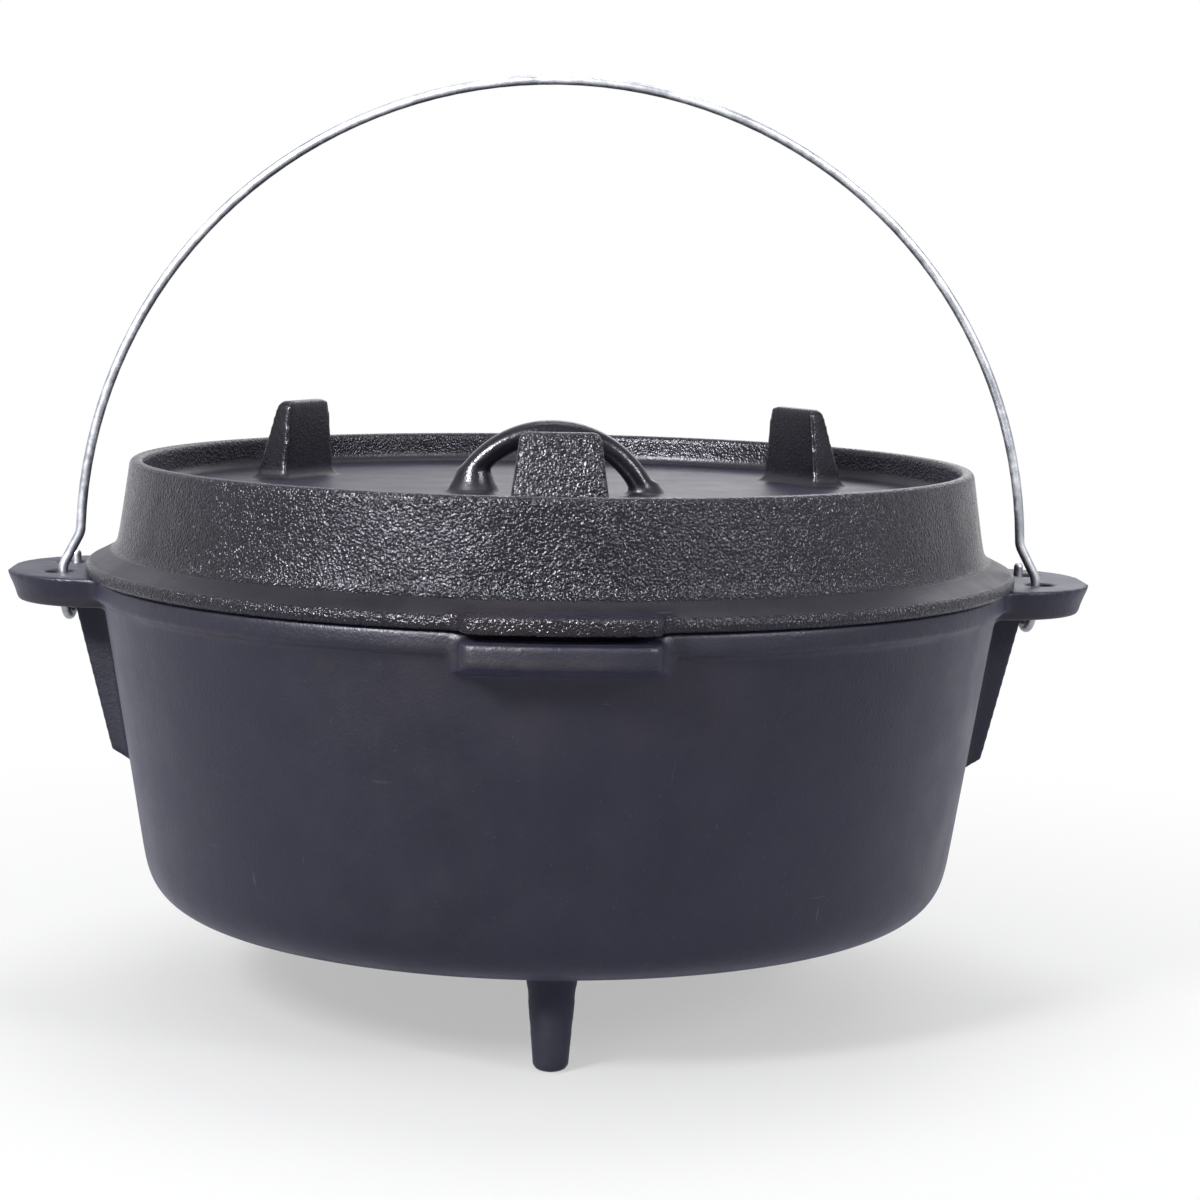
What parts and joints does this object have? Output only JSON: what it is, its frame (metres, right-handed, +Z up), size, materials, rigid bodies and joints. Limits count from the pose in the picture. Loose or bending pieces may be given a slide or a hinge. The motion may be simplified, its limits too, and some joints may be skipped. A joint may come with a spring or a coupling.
{
  "type": "camp dutch oven",
  "caption": "Deep cast iron pot on legs with a flanged coal lid, loop handle, lid legs, side ears and a hinged wire bail.",
  "frame": {"origin": "on the ground under the axis of the pot", "axes": "+X from ear to ear, -Y to the front tab, +Z up"},
  "size_m": [0.435, 0.3906, 0.3681],
  "materials": {
    "pot_iron": "seasoned, fine sand-cast texture, low sheen",
    "lid_iron": "seasoned, coarse pebbled sand-cast texture, low sheen",
    "bail_wire": "zinc coated round wire, satin"
  },
  "bodies": {
    "pot": {"pot": "pot_iron"},
    "lid": {"lid": "lid_iron"},
    "bail": {"bail": "bail_wire"}
  },
  "joints": [
    {"name": "bail_swing", "type": "hinge", "parent": "pot", "child": "bail", "pos_m": [0, 0, 0.171], "axis": [1, 0, 0], "range_deg": [-115, 0]},
    {"name": "lid_lift", "type": "slide", "parent": "pot", "child": "lid", "axis": [0, 0, 1], "range_m": [0, 0.008]}
  ]
}
